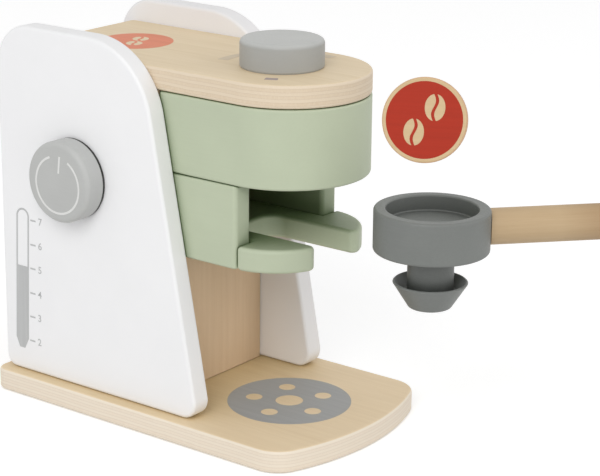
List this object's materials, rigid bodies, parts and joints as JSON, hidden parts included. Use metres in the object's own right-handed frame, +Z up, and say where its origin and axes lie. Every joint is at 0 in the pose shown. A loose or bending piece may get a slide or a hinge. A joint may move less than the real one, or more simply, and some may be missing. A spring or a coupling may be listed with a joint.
{
  "type": "toy coffee maker",
  "caption": "Wooden toy coffee maker: boards on a base, turning knobs, a forked group, and a filter holder and coffee disc that come off.",
  "frame": {"origin": "centre of the base board's underside", "axes": "+Z up, the front with the fork and the filter holder faces -Y, and the power knob is on the -X side"},
  "size_m": [0.1671, 0.342, 0.2143],
  "materials": {
    "plywood": "clear-varnished plywood with visible plies at the edges",
    "white_paint": "satin white paint",
    "sage_paint": "satin sage green paint",
    "grey_paint": "satin light grey paint",
    "dark_grey_paint": "satin dark grey paint",
    "beech": "plain turned hardwood",
    "zinc_steel": "zinc-plated"
  },
  "bodies": {
    "housing": {"base_board": "plywood", "left_side_panel": "white_paint", "right_side_panel": "white_paint", "back_wall": "plywood", "top_board": "plywood", "group_block": "sage_paint", "left_cheek": "sage_paint", "right_cheek": "sage_paint", "fork_plate": "sage_paint", "left_top_dowel_1": "beech", "left_top_dowel_2": "beech", "right_top_dowel_1": "beech", "right_top_dowel_2": "beech", "left_wall_dowel_1": "beech", "left_wall_dowel_2": "beech", "right_wall_dowel_1": "beech", "right_wall_dowel_2": "beech", "left_block_dowel": "beech", "right_block_dowel": "beech", "left_cheek_dowel": "beech", "right_cheek_dowel": "beech", "left_fork_dowel": "beech", "right_fork_dowel": "beech", "left_base_screw_1": "zinc_steel", "left_base_screw_2": "zinc_steel", "right_base_screw_1": "zinc_steel", "right_base_screw_2": "zinc_steel", "left_wall_foot_screw": "zinc_steel", "right_wall_foot_screw": "zinc_steel", "left_block_screw": "zinc_steel", "right_block_screw": "zinc_steel", "left_cheek_screw": "zinc_steel", "right_cheek_screw": "zinc_steel"},
    "power_knob": {"power_knob": "grey_paint", "power_knob_axle": "beech", "power_knob_washer": "zinc_steel", "power_knob_screw": "zinc_steel"},
    "top_knob": {"top_knob": "grey_paint", "top_knob_axle": "beech", "top_knob_washer": "zinc_steel", "top_knob_screw": "zinc_steel"},
    "spout": {"spout_neck": "dark_grey_paint", "spout_cone": "dark_grey_paint"},
    "filter_basket": {"basket": "dark_grey_paint", "handle": "beech", "handle_dowel": "beech"},
    "coffee_disc": {"coffee_disc": "plywood"}
  },
  "joints": [
    {"name": "power_knob_turn", "type": "hinge", "parent": "housing", "child": "power_knob", "pos_m": [-0.0569, 0.0497, 0.1329], "axis": [-1, 0, 0], "continuous": true},
    {"name": "top_knob_turn", "type": "hinge", "parent": "housing", "child": "top_knob", "pos_m": [0, -0.0476, 0.1991], "axis": [0, 0, 1], "continuous": true},
    {"name": "filter_slide", "type": "slide", "parent": "housing", "child": "spout", "axis": [0, 0.9986, -0.0523], "range_m": [0, 0.10415]},
    {"name": "filter_swivel", "type": "hinge", "parent": "spout", "child": "filter_basket", "pos_m": [0, -0.14421, 0.11675], "axis": [0, 0, 1], "range_deg": [-96, 0]},
    {"name": "disc_lift", "type": "hinge", "parent": "housing", "child": "coffee_disc", "pos_m": [-0.05186, -0.1695, 0.13935], "axis": [0.4384, -0.8988, 0], "range_deg": [-76, 0]}
  ]
}
